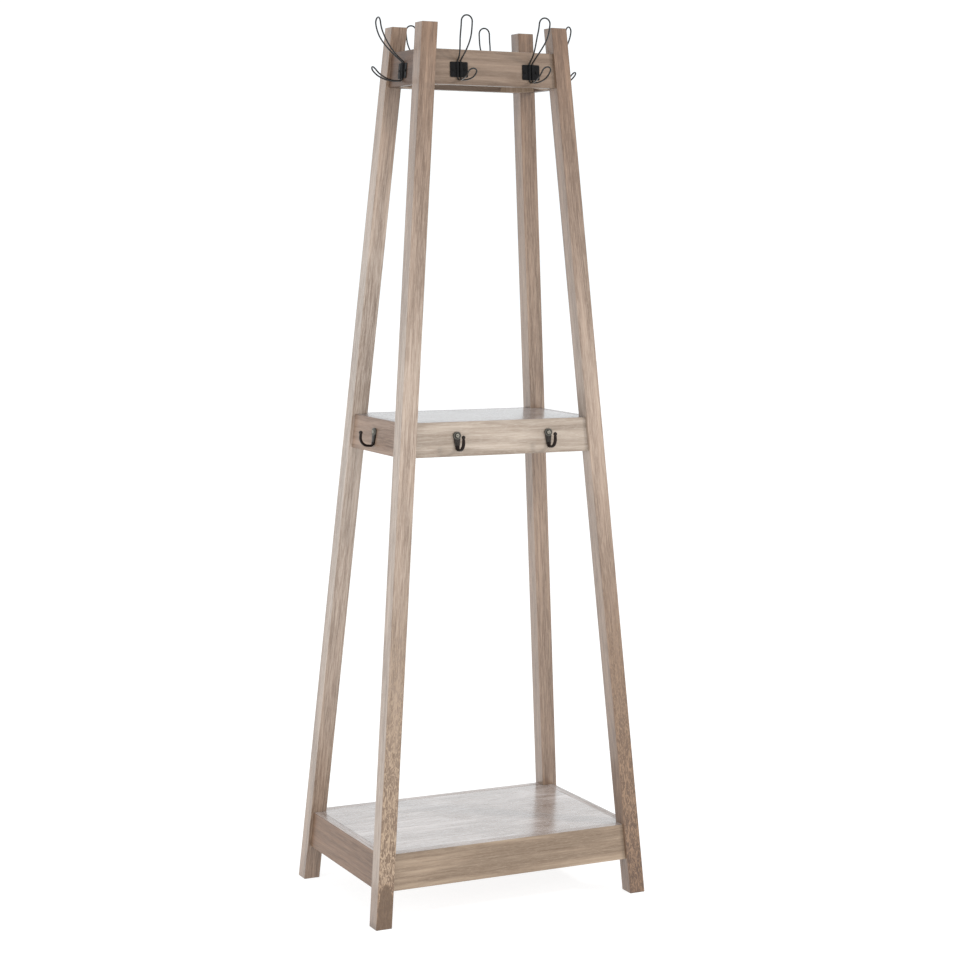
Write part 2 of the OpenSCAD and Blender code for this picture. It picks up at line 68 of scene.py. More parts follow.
def add(finish, kind, **settings):
    """Adds one step to a finish."""
    step = finish.node_tree.nodes.new(kind)
    for key, value in settings.items():
        setattr(step, key, value)
    return step


def join(finish, source, target):
    finish.node_tree.links.new(source, target)


def reckon(finish, operation, *values):
    """One step of arithmetic. Each value is a number or the output of another step."""
    step = add(finish, "ShaderNodeMath", operation=operation)
    for socket, value in zip(step.inputs, values):
        if isinstance(value, (int, float)):
            socket.default_value = value
        else:
            join(finish, value, socket)
    return step.outputs[0]


def product(finish, first, second):
    return reckon(finish, "MULTIPLY", first, second)


def apart(finish, vector):
    """The X, Y and Z of a place or a direction."""
    step = add(finish, "ShaderNodeSeparateXYZ")
    join(finish, vector, step.inputs[0])
    return step.outputs


def ramp(finish, value, low, high, from_low=0.0, from_high=1.0):
    """Turns value from one range into another with soft ends."""
    step = add(finish, "ShaderNodeMapRange", interpolation_type="SMOOTHSTEP")
    join(finish, value, step.inputs["Value"])
    step.inputs["From Min"].default_value = low
    step.inputs["From Max"].default_value = high
    step.inputs["To Min"].default_value = from_low
    step.inputs["To Max"].default_value = from_high
    return step.outputs["Result"]


def blend_colours(finish, share, first, second, way="MIX"):
    """From the first colour to the second as share goes from 0 to 1."""
    step = add(finish, "ShaderNodeMix", data_type="RGBA", blend_type=way)
    sockets = (step.inputs[0], step.inputs[6], step.inputs[7])
    for socket, value in zip(sockets, (share, first, second)):
        if isinstance(value, tuple):
            socket.default_value = (*value, 1)
        elif isinstance(value, (int, float)):
            socket.default_value = value
        else:
            join(finish, value, socket)
    return step.outputs[2]


def rubbed_in(finish, share, strength, colour, second):
    """Works a second colour into the first, at most to a strength."""
    return blend_colours(finish, product(finish, share, strength), colour, second)


def relief(finish, surface, height, depth, strength=1.0):
    """Raises the surface by up to depth where height is 1."""
    step = add(finish, "ShaderNodeBump")
    step.inputs["Distance"].default_value = depth
    step.inputs["Strength"].default_value = strength
    join(finish, height, step.inputs["Height"])
    join(finish, step.outputs[0], surface.inputs["Normal"])


def stretched(finish, place, scale):
    step = add(finish, "ShaderNodeMapping")
    join(finish, place, step.inputs["Vector"])
    step.inputs["Scale"].default_value = scale
    return step.outputs[0]


def grained(finish, place, across, along, detail=3.0, rough=0.55, warp=0.0):
    """Cloudy variation that runs with the grain: so many patches a metre across and along it."""
    step = add(finish, "ShaderNodeTexNoise")
    join(finish, stretched(finish, place, (across, across, along)), step.inputs["Vector"])
    step.inputs["Scale"].default_value = 1.0
    step.inputs["Detail"].default_value = detail
    step.inputs["Roughness"].default_value = rough
    step.inputs["Distortion"].default_value = warp
    return step.outputs["Fac"]


def grain_place(finish, along, seed):
    """A place in the wood, with Z along the grain, measured from the rack's middle."""
    turn = Vector((0, 0, 1)).rotation_difference(Vector(along).normalized())
    where = add(finish, "ShaderNodeTexCoord")
    step = add(finish, "ShaderNodeMapping")
    join(finish, where.outputs["Object"], step.inputs["Vector"])
    step.inputs["Rotation"].default_value = turn.inverted().to_euler()
    step.inputs["Location"].default_value = (seed * 1.37, seed * 2.11, seed * 3.7)
    return step.outputs[0]


def worn_edge(finish, radius, low=0.02, high=0.30):
    """1 on an outer or inner edge, 0 on the flat."""
    eased = add(finish, "ShaderNodeBevel", samples=4)
    eased.inputs["Radius"].default_value = radius
    flat = add(finish, "ShaderNodeNewGeometry")
    dot = add(finish, "ShaderNodeVectorMath", operation="DOT_PRODUCT")
    join(finish, eased.outputs[0], dot.inputs[0])
    join(finish, flat.outputs["Normal"], dot.inputs[1])
    return ramp(finish, reckon(finish, "SUBTRACT", 1.0, dot.outputs["Value"]), low, high)


def painted_crevice_shade(finish, distance, low=0.35, high=0.95):
    """How much painted shade falls at a spot: 1 deep in a joint or corner, 0 in the open."""
    step = add(finish, "ShaderNodeAmbientOcclusion", samples=6)
    step.inputs["Distance"].default_value = distance
    return ramp(finish, step.outputs["AO"], low, high, 1.0, 0.0)


def year_rings(finish, along, own, pith, ring, sway):
    """1 on the line between two years of growth, 0 between the lines. pith is where the middle
    of the tree lay, across the grain, and how fast it drifts along it."""
    x, y, z = apart(finish, grain_place(finish, along, 0.0))
    across = reckon(finish, "SUBTRACT", x, pith[0])
    across = reckon(finish, "ADD", across, product(finish, z, pith[2]))
    deep = reckon(finish, "SUBTRACT", y, pith[1])
    squares = reckon(finish, "ADD", product(finish, across, across), product(finish, deep, deep))
    waver = product(finish, grained(finish, own, 7, 1.6, 2.0), sway)
    radius = reckon(finish, "ADD", reckon(finish, "SQRT", squares), waver)
    year = reckon(finish, "FRACT", reckon(finish, "DIVIDE", radius, ring))
    off_middle = reckon(finish, "ABSOLUTE", reckon(finish, "SUBTRACT", year, 0.5))
    return ramp(finish, off_middle, 0.18, 0.48)


def ray_flecks(finish, colour, own, front, height, reach):
    """Pale flecks over browner wood, on the quartered front faces and up to a height only."""
    low_down = ramp(finish, height, reach[0] + 0.05, reach[1], 1.0, 0.0)
    zone = product(finish, ramp(finish, front, -0.9, -0.6, 1.0, 0.0), low_down)
    rays = ramp(finish, grained(finish, own, 230, 60, 3.0, 0.66, 1.7), 0.47, 0.555)
    colour = rubbed_in(finish, zone, 0.90, colour, (0.180, 0.116, 0.066))
    return rubbed_in(finish, product(finish, zone, rays), 0.85, colour, (0.560, 0.455, 0.345))


def bare_foot(finish, colour, x, height, crown):
    """An arched patch of brown wood on a leg's foot. crown is the place and height of its top."""
    aside = reckon(finish, "SUBTRACT", x, crown[0])
    arch = product(finish, product(finish, aside, aside), 150)
    bare = ramp(finish, reckon(finish, "ADD", height, arch), crown[1] - 0.004, crown[1] + 0.002, 1.0, 0.0)
    return rubbed_in(finish, bare, 0.82, colour, (0.165, 0.106, 0.055))


def painted_light_by_height(finish, colour, height, shares):
    """Painted light and shade by height, over the wood's own tone. Each share is how much of the colour's
    red is left at a height; green and blue keep less.
    """
    top = 1.8
    stops = add(finish, "ShaderNodeValToRGB")
    join(finish, reckon(finish, "DIVIDE", height, top), stops.inputs[0])
    while len(stops.color_ramp.elements) < len(shares):
        stops.color_ramp.elements.new(0.5)
    for stop, (z, share) in zip(stops.color_ramp.elements, shares):
        stop.position = z / top
        stop.color = (share, share ** 1.4, share ** 1.8, 1)
    return blend_colours(finish, 1.0, colour, stops.outputs[0], "MULTIPLY")


def limed_oak(name, along, pith, seed, tone=(1, 1, 1), ring=0.0045, sway=0.020, line=0.35,
        flecked=None, by_height=(), gloss=0.40, wax=0.80, worn=0.0, foot=None, top_sheen=None,
        fibre=1.0):
    """Limed oak. ring is how wide a year's growth is, sway how far it wavers and line how dark
    its edge is. flecked is the stretch of height where the rays show. wax is how thick the buffed
    wax lies, and worn is how far it is wiped off in clouds. foot is where the arched patch is.
    top_sheen is painted reflection: the tone of faces that look up, like the shelves', standing in
    for the room mirrored in their buffed wax. by_height holds the painted light and the leg's own
    tone from the floor up. fibre is how much the fine streaks show."""
    finish, surface = new_finish(name)
    own = grain_place(finish, along, seed)
    spring = year_rings(finish, along, own, pith, ring, sway)
    # Wide patches where the wax was wiped thin, broad bands, streaks, fine threads and open pores.
    patch = ramp(finish, grained(finish, own, 34, 3.0, 4.0, 0.6, 0.4), 0.36, 0.64)
    band = ramp(finish, grained(finish, own, 78, 2.6, 3.0, 0.6, 0.15), 0.42, 0.66)
    streak = ramp(finish, grained(finish, own, 250, 3.2, 4.0, 0.65, 0.2), 0.42, 0.66)
    thread = ramp(finish, grained(finish, own, 620, 24, 3.0, 0.7, 0.3), 0.42, 0.62)
    pores = ramp(finish, grained(finish, own, 1700, 90, 2.0, 0.6), 0.55, 0.68)
    colour = blend_colours(finish, patch, LIMED_MID, LIMED_PALE)
    colour = rubbed_in(finish, band, 0.46, colour, OAK_BROWN)
    if worn:
        cloud = ramp(finish, grained(finish, own, 9.0, 5.0, 3.0, 0.55, 0.6), 0.42, 0.60)
        colour = rubbed_in(finish, cloud, worn, colour, OAK_BROWN)
    colour = rubbed_in(finish, streak, 0.42 * fibre, colour, OAK_BROWN)
    colour = rubbed_in(finish, spring, line, colour, OAK_BROWN)
    colour = rubbed_in(finish, thread, 0.42 * fibre, colour, LIME_WHITE)
    colour = rubbed_in(finish, pores, 0.30, colour, LIME_WHITE)
    x, _, height = apart(finish, add(finish, "ShaderNodeTexCoord").outputs["Object"])
    facing = apart(finish, add(finish, "ShaderNodeNewGeometry").outputs["Normal"])
    if flecked:
        colour = ray_flecks(finish, colour, own, facing[1], height, flecked)
    if foot:
        colour = bare_foot(finish, colour, x, height, foot)
    # Painted light by height, together with the leg's own tone.
    if by_height:
        colour = painted_light_by_height(finish, colour, height, by_height)
    dullness = ramp(finish, pores, 0.0, 1.0, gloss, gloss + 0.22)
    # Painted reflection: faces that look up take the top_sheen tone for the room mirrored in their wax.
    if top_sheen:
        upward = ramp(finish, facing[2], 0.75, 0.95)
        tone = blend_colours(finish, upward, tone, top_sheen)
        dullness = reckon(finish, "SUBTRACT", dullness, product(finish, upward, gloss - 0.20))
    colour = blend_colours(finish, 1.0, colour, tone, "MULTIPLY")
    handled = ramp(finish, grained(finish, own, 90, 22, 3.0), 0.35, 0.62)
    edge = product(finish, worn_edge(finish, 0.0018), handled)
    colour = rubbed_in(finish, edge, 0.14, colour, OAK_BROWN)
    # Painted shade, dark brown, in the joints and corners.
    colour = rubbed_in(finish, painted_crevice_shade(finish, 0.0030), 0.30, colour, (0.080, 0.055, 0.040))
    join(finish, colour, surface.inputs["Base Color"])
    join(finish, dullness, surface.inputs["Roughness"])
    surface.inputs["Coat Weight"].default_value = wax
    surface.inputs["Coat Roughness"].default_value = 0.22
    raised = product(finish, streak, 0.4)
    sunk = reckon(finish, "ADD", product(finish, pores, 0.8), product(finish, spring, 0.6))
    relief(finish, surface, reckon(finish, "SUBTRACT", raised, sunk), 0.0002, 0.5)
    return finish


def dress(piece, finish):
    """Gives a piece its finish in place of whatever it came with."""
    piece.data.materials.clear()
    piece.data.materials.append(finish)


# Corners closer than a seam are one corner. Only arrises longer than LONG_EDGE are planed.
SEAM = 0.00002
SPOTS_A_METRE = 20000
LONG_EDGE = 0.02


def ease_edges(piece, width, along=None):
    """Planes the long arrises off a sawn piece, and leaves the rims of its bores alone. Where
    along is given, only the arrises that run that way are eased."""
    def spot(place):
        return tuple(round(v * SPOTS_A_METRE) for v in place)

    closed = bmesh.new()
    closed.from_mesh(piece.data)
    bmesh.ops.remove_doubles(closed, verts=closed.verts, dist=SEAM)
    sharp = set()
    for edge in closed.edges:
        run = edge.verts[1].co - edge.verts[0].co
        if len(edge.link_faces) == 2 and run.length > LONG_EDGE and edge.calc_face_angle() > 0.6:
            if along is None or abs(run.normalized().dot(Vector(along).normalized())) > 0.9:
                sharp.add(frozenset(spot(v.co) for v in edge.verts))
    closed.free()
    marks = piece.data.attributes.new("bevel_weight_edge", "FLOAT", "EDGE")
    for edge in piece.data.edges:
        ends = frozenset(spot(piece.data.vertices[i].co) for i in edge.vertices)
        marks.data[edge.index].value = 1.0 if ends in sharp else 0.0
    weld = piece.modifiers.new("closed", "WELD")
    weld.merge_threshold = SEAM
    eased = piece.modifiers.new("eased", "BEVEL")
    eased.width = width
    eased.segments = 2
    eased.limit_method = "WEIGHT"
    shade = piece.modifiers.new("shaded", "WEIGHTED_NORMAL")
    shade.weight = 80


# Each leg's tone from the floor up. It is partly painted light, brightest near mid height and falling off
# towards the top and the floor, and partly the leg's own darker wood where the wax was rubbed out.
LEG_LIGHT_AND_TONE = {
    "front_left": ((0.0, 0.53), (0.082, 0.57), (0.10, 0.73), (1.1, 0.81), (1.78, 0.44)),
    "front_right": ((0.0, 0.38), (0.18, 0.46), (0.50, 0.57), (1.05, 0.77), (1.78, 0.40)),
    "back_left": ((0.0, 0.50), (0.15, 0.66), (0.9, 0.88), (1.3, 0.86), (1.78, 0.50)),
    "back_right": ((0.0, 0.53), (0.4, 0.59), (0.9, 0.62), (1.3, 0.63), (1.78, 0.44)),
}
for k, (corner, heights) in enumerate(LEG_LIGHT_AND_TONE.items()):
    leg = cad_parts["leg_" + corner]
    low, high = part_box("leg_" + corner)
    lean_x = (high.x - low.x - LEG) / (high.z - low.z) * (-1 if corner.endswith("right") else 1)
    lean_y = (high.y - low.y - LEG) / (high.z - low.z) * (-1 if corner.startswith("back") else 1)
    middle = (low + high) / 2
    pith = (middle.x + (0.05 if k % 2 else -0.06), middle.y + 0.085, 0.006 if k % 2 else -0.006)
    flecked = (0.08, 0.80) if corner.startswith("front") else None
    foot = (low.x + 0.024, 0.092) if corner == "front_left" else None
    dress(leg, limed_oak("limed_oak_leg_" + corner, (lean_x, lean_y, 1), pith, 1.0 + k,
        flecked=flecked, by_height=heights, foot=foot))
    ease_edges(leg, 0.0014)


# ---- Rails ----
# Twelve rails of the same limed oak tie the legs into three frames, a little set back from the
# legs' faces. Their ends are cut to the legs' lean and dowelled, and glued up tight.
RAIL = 0.018
SIDES = ("front", "right", "back", "left")
# Each level's tone for its front and back rails, then for its side rails, and how wide and how
# dark the rings of its wood are. The tones are partly painted light: the middle level is the
# brightest and the top and lower levels darker, as the light falls off, over the wood's own tone.
# The side rails are darker than the front and back ones.
RAIL_TONE_AND_LIGHT = {
    "lower": ((0.71, 0.63, 0.52), (0.45, 0.33, 0.25), 0.0115, 0.20),
    "middle": ((0.92, 0.92, 0.89), (0.59, 0.48, 0.41), 0.021, 0.14),
    "top": ((0.47, 0.40, 0.34), (0.26, 0.185, 0.145), 0.015, 0.20),
}
# The tops of the rails are waxed and buffed together with the board between them. Their tone, one
# per level for the faces that look up and for the board, is painted reflection of the white room in the wax.
PAINTED_SHEEN = ((1.08, 1.12, 1.22), (0.76, 0.80, 0.90), (0.9, 0.9, 0.9))
for f, (level, (front_tone, side_tone, ring, line)) in enumerate(RAIL_TONE_AND_LIGHT.items()):
    for side, name in enumerate(SIDES):
        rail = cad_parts[f"{level}_rail_{name}"]
        low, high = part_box(f"{level}_rail_{name}")
        middle = (low + high) / 2
        # The rail is sawn a little off the quarter, so its rings run along it as even lines.
        if side % 2:
            grain = (0, 1, 0)
            pith = (middle.x + 0.11, -middle.z - 0.30, 0.004)
            tone, wax, fibre = side_tone, 0.0, 0.75
        else:
            grain = (1, 0, 0)
            pith = (-middle.z - 0.42, middle.y + 0.15, 0.012)
            tone, wax, fibre = front_tone, 0.2, 0.38
        # The level's tones carry painted light, and the tops take the painted reflection.
        dress(rail, limed_oak(f"limed_oak_{level}_{name}", grain, pith, 7.0 + 4 * f + side, tone,
            ring, 0.005, line, wax=wax, top_sheen=PAINTED_SHEEN[f], fibre=fibre))
        ease_edges(rail, 0.0008, grain)


# ---- Dowels ----
# Two fluted beech dowels at each end of every rail, glued half into the leg and half into the
# rail. Those of the side rails pass between those of the front and back rails.
def plain_wood(name, along, pale, dark, seed):
    """Bare timber straight from the saw: even colour, soft streaks, a furry surface."""
    finish, surface = new_finish(name)
    own = grain_place(finish, along, seed)
    streak = grained(finish, own, 260, 5, 4.0, 0.6, 0.3)
    fibre = grained(finish, own, 1400, 40, 2.0)
    colour = blend_colours(finish, ramp(finish, streak, 0.32, 0.68), dark, pale)
    # Painted shade, dark brown, in the corners.
    colour = rubbed_in(finish, painted_crevice_shade(finish, 0.010), 0.5, colour, (0.10, 0.06, 0.035))
    join(finish, colour, surface.inputs["Base Color"])
    join(finish, ramp(finish, fibre, 0.3, 0.7, 0.60, 0.85), surface.inputs["Roughness"])
    relief(finish, surface, reckon(finish, "ADD", streak, fibre), 0.0003)
    return finish


beech = plain_wood("beech_dowel", (1, 0, 0), (0.52, 0.36, 0.23), (0.38, 0.24, 0.14), 31.0)
for level in ("lower", "middle", "top"):
    dress(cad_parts[level + "_frame_dowels"], beech)


# ---- Corner blocks ----
# A glued pine block backs each corner of each frame, notched round the inside of the leg. A lag
# screw with a washer runs through it into the leg, so the frames can be drawn up tight.
pine = plain_wood("bare_pine", (0, 0, 1), (0.34, 0.25, 0.18), (0.24, 0.165, 0.11), 40.0)
for level in ("lower", "middle", "top"):
    for corner in ("front_left", "front_right", "back_left", "back_right"):
        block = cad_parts[f"{level}_block_{corner}"]
        dress(block, pine)
        ease_edges(block, 0.0008)


def bare_metal(name, bright, dull, scratch, seed):
    """Plated steel: cloudy, finely scratched, brighter where it is rubbed."""
    finish, surface = new_finish(name)
    own = grain_place(finish, (0, 0, 1), seed)
    cloud = grained(finish, own, 120, 120, 4.0)
    fine = grained(finish, own, 2600, 500, 3.0)
    colour = blend_colours(finish, ramp(finish, cloud, 0.35, 0.65), dull, bright)
    polished = tuple(min(1.0, 1.25 * v) for v in bright)
    colour = rubbed_in(finish, worn_edge(finish, 0.0006), 0.6, colour, polished)
    join(finish, colour, surface.inputs["Base Color"])
    surface.inputs["Metallic"].default_value = 1.0
    join(finish, ramp(finish, fine, 0.3, 0.7, scratch, scratch + 0.25), surface.inputs["Roughness"])
    relief(finish, surface, fine, 0.00005)
    return finish


zinc = bare_metal("zinc_plate", (0.62, 0.63, 0.65), (0.42, 0.43, 0.45), 0.28, 51.0)
dress(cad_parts["lag_screws"], zinc)
dress(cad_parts["lag_washers"], zinc)


# ---- Shelf boards ----
# A thin oak-faced board closes the top of each frame, let in flush between the rails and notched
# round the legs. Its grain runs from side to side, and its wax is buffed to a satin sheen. The
# lower two lie on pine strips screwed to the rails.
BOARD_WAX = {"lower_shelf_board": 0.9, "middle_shelf_board": 0.4, "top_board": 0.5}
for k, (name, wax) in enumerate(BOARD_WAX.items()):
    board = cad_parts[name]
    low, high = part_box(name)
    pith = (-low.z - 0.05, high.y + 0.30, 0.006)
    # The board's tone is the painted reflection of the white room in its wax.
    dress(board, limed_oak("limed_" + name, (1, 0, 0), pith, 60.0 + k, PAINTED_SHEEN[k],
        0.017, 0.030, 0.16, gloss=0.20, wax=wax, worn=0.60))
    ease_edges(board, 0.0003)

strip_pine = plain_wood("strip_pine", (1, 0, 0), (0.66, 0.48, 0.29), (0.50, 0.32, 0.17), 45.0)
for name in ("lower_shelf_cleats", "middle_shelf_cleats"):
    dress(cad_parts[name], strip_pine)
    ease_edges(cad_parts[name], 0.0008)
dress(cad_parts["cleat_screws"],
    bare_metal("yellow_plate", (0.72, 0.60, 0.30), (0.52, 0.42, 0.20), 0.30, 52.0))


# ---- Hook brackets ----
# Each wire hook is held by a small pressed steel plate with two half-round beads that fit over
# the strands. The sheet is 1.5 mm thick, enamelled black, and screwed to the top rail.
PLATE_W = 0.039
PLATE_H = 0.0305
SHEET = 0.0015
CORNER = 0.0022
PITCH = 0.007
WIRE = 0.0016
CHANNEL = WIRE + 0.0001
BEAD = CHANNEL + SHEET
HOOK_UP = 0.0298


def rail_seat(side, rail, along, up):
    """Stands on a rail's face: X along the rail, -Y outward, Z up the face."""
    low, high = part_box(rail)
    depth = (high - low)[1 - side % 2]
    slope = (depth - RAIL) / (high.z - low.z)
    foot = (-low.y, high.x, high.y, -low.x)[side]
    return (Matrix.Rotation(math.radians(90 * side), 4, "Z")
        @ Matrix.Translation((along, -(foot - slope * up), low.z + up))
        @ Matrix.Rotation(-math.atan(slope), 4, "X"))


def along_side(side, node):
    low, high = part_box(node)
    middle = (low + high) / 2
    return (middle.x, middle.y, -middle.x, -middle.y)[side]


def new_piece(name, points, faces, seat, finish, slot, *nodes):
    """Makes a piece in its own place, moves it to its seat and shows it for the CAD nodes."""
    mesh = bpy.data.meshes.new(name)
    mesh.from_pydata([tuple(p) for p in points], [], faces)
    mesh.transform(seat)
    mesh.validate()
    mesh.update()
    mesh.shade_smooth()
    piece = bpy.data.objects.new(name, mesh)
    bpy.context.scene.collection.objects.link(piece)
    mesh.materials.append(finish)
    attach(piece, "root")
    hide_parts(*nodes)
    return piece


def enamel(name, black, grey, seed, dullness, gleam):
    """Black enamel: slightly uneven, and rubbed to grey steel on the corners."""
    finish, surface = new_finish(name)
    own = grain_place(finish, (0, 0, 1), seed)
    cloud = ramp(finish, grained(finish, own, 130, 130, 4.0), 0.35, 0.68)
    peel = grained(finish, own, 900, 900, 2.0)
    colour = blend_colours(finish, cloud, black, grey)
    handled = ramp(finish, grained(finish, own, 420, 420, 3.0), 0.42, 0.62)
    rub = product(finish, worn_edge(finish, 0.0005), handled)
    colour = rubbed_in(finish, rub, 0.7, colour, (0.080, 0.074, 0.070))
    join(finish, colour, surface.inputs["Base Color"])
    join(finish, ramp(finish, cloud, 0.0, 1.0, dullness, dullness + 0.16), surface.inputs["Roughness"])
    surface.inputs["Specular IOR Level"].default_value = gleam
    relief(finish, surface, peel, 0.00006)
    return finish


def over_bead(x, radius, flat):
    """How far the sheet stands off the rail at x, for its outer or inner face."""
    off = abs(abs(x) - PITCH / 2)
    return max(flat, CHANNEL + math.sqrt(radius ** 2 - off ** 2)) if off < radius else flat


def bracket_mesh():
    """A grid of the sheet's two faces, wide at its middle and rounded at its corners."""
    bead_edge = PITCH / 2 + BEAD
    bead_steps, wing_steps, corner_steps, side_steps = 18, 5, 5, 8
    beads = [bead_edge * math.sin(math.pi / 2 * k / bead_steps) for k in range(-bead_steps, bead_steps + 1)]
    wings = [(k + 1) / wing_steps for k in range(wing_steps)]
    turns = [math.pi / 2 * k / corner_steps for k in range(corner_steps)]
    rows = [-PLATE_H / 2 + CORNER * (1 - math.cos(a)) for a in turns]
    straight = PLATE_H - 2 * CORNER
    rows += [-PLATE_H / 2 + CORNER + straight * k / side_steps for k in range(side_steps + 1)]
    rows += [-z for z in reversed(rows[:corner_steps])]
    points = []
    for z in rows:
        inset = max(0.0, CORNER - (PLATE_H / 2 - abs(z)))
        half = PLATE_W / 2 - CORNER + math.sqrt(CORNER ** 2 - inset ** 2)
        xs = [-bead_edge - (half - bead_edge) * w for w in reversed(wings)] + beads
        xs += [bead_edge + (half - bead_edge) * w for w in wings]
        points += [(x, -over_bead(x, BEAD, SHEET), z) for x in xs]
        points += [(x, -over_bead(x, CHANNEL, 0.0), z) for x in xs]
    n = len(xs)
    faces = []
    for r in range(len(rows) - 1):
        a = 2 * n * r
        b = a + 2 * n
        for k in range(n - 1):
            faces.append((a + k, a + k + 1, b + k + 1, b + k))
            faces.append((a + n + k + 1, a + n + k, b + n + k, b + n + k + 1))
        faces.append((a + n, a, b, b + n))
        faces.append((a + n - 1, a + 2 * n - 1, b + 2 * n - 1, b + n - 1))
    last = 2 * n * (len(rows) - 1)
    for k in range(n - 1):
        faces.append((n + k, n + k + 1, k + 1, k))
        faces.append((last + k, last + k + 1, last + n + k + 1, last + n + k))
    return points, faces


black_plate = enamel("black_bracket", (0.0036, 0.0034, 0.0034), (0.0070, 0.0066, 0.0070),
    71.0, 0.30, 0.14)
HOOKS = {"front_left": 0, "front_right": 0, "back_left": 2, "back_right": 2, "right": 1, "left": 3}
seats = {}
for hook, side in HOOKS.items():
    node = "hook_bracket_" + hook
    seats[hook] = rail_seat(side, "top_rail_" + SIDES[side], along_side(side, node), HOOK_UP)
    plate = new_piece("pressed_bracket_" + hook, *bracket_mesh(), seats[hook], black_plate,
        "black_bracket", node)
    eased = plate.modifiers.new("pressed edge", "BEVEL")
    eased.width = 0.00035
    eased.segments = 2
    eased.limit_method = "ANGLE"
    eased.angle_limit = math.radians(50)
    shade = plate.modifiers.new("shaded", "WEIGHTED_NORMAL")


# ---- Wire hooks ----
# One ring of 3.2 mm spring wire makes each double hook. Both strands pass side by side under the
# bracket. They bow apart into a tall loop that sweeps up and out, and into a shorter loop that
# turns out and up below. They are bent by hand, so no two have quite the same sweep.
LOOP = 0.024
LOW_LOOP = 0.018
BEND = 0.005
LOW_BEND = 0.006
BEND_TURN = math.radians(58)
LOW_TURN = math.radians(80)
LOW_RAKE = math.radians(59)
TIP = 0.030
LOW_TIP = 0.017


def curve_at(p, t):
    """A place on the smooth curve that leaves p[0] towards p[1] and reaches p[3] from p[2]."""
    early = (1 - t) ** 3 * p[0] + 3 * (1 - t) ** 2 * t * p[1]
    return early + 3 * (1 - t) * t * t * p[2] + t ** 3 * p[3]


def slope_at(p, t):
    return (1 - t) ** 2 * (p[1] - p[0]) + 2 * (1 - t) * t * (p[2] - p[1]) + t * t * (p[3] - p[2])


def loop_stations(p, width, tip, way, side, strand, cap):
    """Down one strand, round the tip and back: (place, direction across the ribbon). way is 1
    for the upper loop and -1 for the lower one."""
    start = 1 - width / 2 / (3 * tip)

    def station(x, t):
        out, rise = curve_at(p, t)
        slope = slope_at(p, t).normalized() * way
        return Vector((x, -out, rise)), Vector((0, -slope.y, -slope.x))

    def along_strand(side, k):
        t = start * k / strand
        share = min(1, t / (0.75 * start))
        half = PITCH / 2 + (width - PITCH) / 2 * share * share * (3 - 2 * share)
        return station(side * half, t)

    def round_tip(k):
        a = math.pi * k / cap
        return station(side * width / 2 * math.cos(a), start + width / 2 * math.sin(a) / (3 * tip))

    down = [along_strand(side, k) for k in range(strand + 1)]
    back = [along_strand(-side, k) for k in range(strand, -1, -1)]
    return down + [round_tip(k) for k in range(1, cap)] + back


def bend_end(way, angle):
    """Where the bend at the bracket's top or bottom has turned through an angle, as (out, up)."""
    radius = BEND if way > 0 else LOW_BEND
    out = CHANNEL + radius * (1 - math.cos(angle))
    return Vector((out, way * (PLATE_H / 2 + radius * math.sin(angle))))


def bend_stations(side, way, steps):
    stations = []
    for k in range(steps):
        angle = (BEND_TURN if way > 0 else LOW_TURN) * k / steps
        out, rise = bend_end(way, angle)
        slope = Vector((math.sin(angle), math.cos(angle) * way)) * way
        stations.append((Vector((side * PITCH / 2, -out, rise)), Vector((0, -slope.y, -slope.x))))
    return stations


def wire_mesh(reach, rise, low_reach, low_rise):
    """One closed ring of wire: up the right strand, round the upper loop, down through the
    bracket, round the lower loop and back."""
    start = bend_end(1, BEND_TURN)
    end = Vector((reach, rise))
    lean = Vector((math.sin(BEND_TURN), math.cos(BEND_TURN)))
    upper = [start, start + 0.7 * (end.x - start.x) * lean, end - Vector((0, TIP)), end]
    start = bend_end(-1, LOW_TURN)
    end = Vector((low_reach, low_rise))
    lean = Vector((math.sin(LOW_TURN), -math.cos(LOW_TURN)))
    rake = Vector((math.cos(LOW_RAKE), math.sin(LOW_RAKE)))
    lower = [start, start + 0.42 * low_reach * lean, end - LOW_TIP * rake, end]
    rings = bend_stations(1, 1, 6) + loop_stations(upper, LOOP, TIP, 1, 1, 34, 20)
    rings += list(reversed(bend_stations(-1, 1, 6))) + bend_stations(-1, -1, 8)
    rings += loop_stations(lower, LOW_LOOP, LOW_TIP, -1, -1, 24, 18)
    rings += list(reversed(bend_stations(1, -1, 8)))
    n = len(rings)
    around = 16
    points = []
    for k, (place, flat) in enumerate(rings):
        ahead = (rings[(k + 1) % n][0] - rings[k - 1][0]).normalized()
        across = ahead.cross(flat).normalized()
        over = across.cross(ahead).normalized()
        for j in range(around):
            a = 2 * math.pi * j / around
            points.append(place + (WIRE - 0.00002) * (math.cos(a) * over + math.sin(a) * across))
    faces = []
    for k in range(n):
        a = k * around
        b = (k + 1) % n * around
        for j in range(around):
            i = (j + 1) % around
            faces.append((a + i, b + i, b + j, a + j))
    return points, faces


black_wire = enamel("black_wire", (0.006, 0.005, 0.0045), (0.012, 0.010, 0.009), 72.0, 0.11, 0.5)
# Upper loop's reach and rise, then the lower loop's, from the bracket's middle.
BENDS = {
    "front_left": (0.042, 0.102, 0.067, -0.006),
    "front_right": (0.066, 0.100, 0.074, 0.002),
    "back_left": (0.057, 0.101, 0.066, -0.001),
    "back_right": (0.040, 0.103, 0.068, 0.001),
    "right": (0.061, 0.100, 0.070, 0.006),
    "left": (0.063, 0.099, 0.067, 0.000),
}
for hook, sizes in BENDS.items():
    new_piece("bent_wire_" + hook, *wire_mesh(*sizes), seats[hook], black_wire,
        "black_wire", "wire_hook_" + hook)


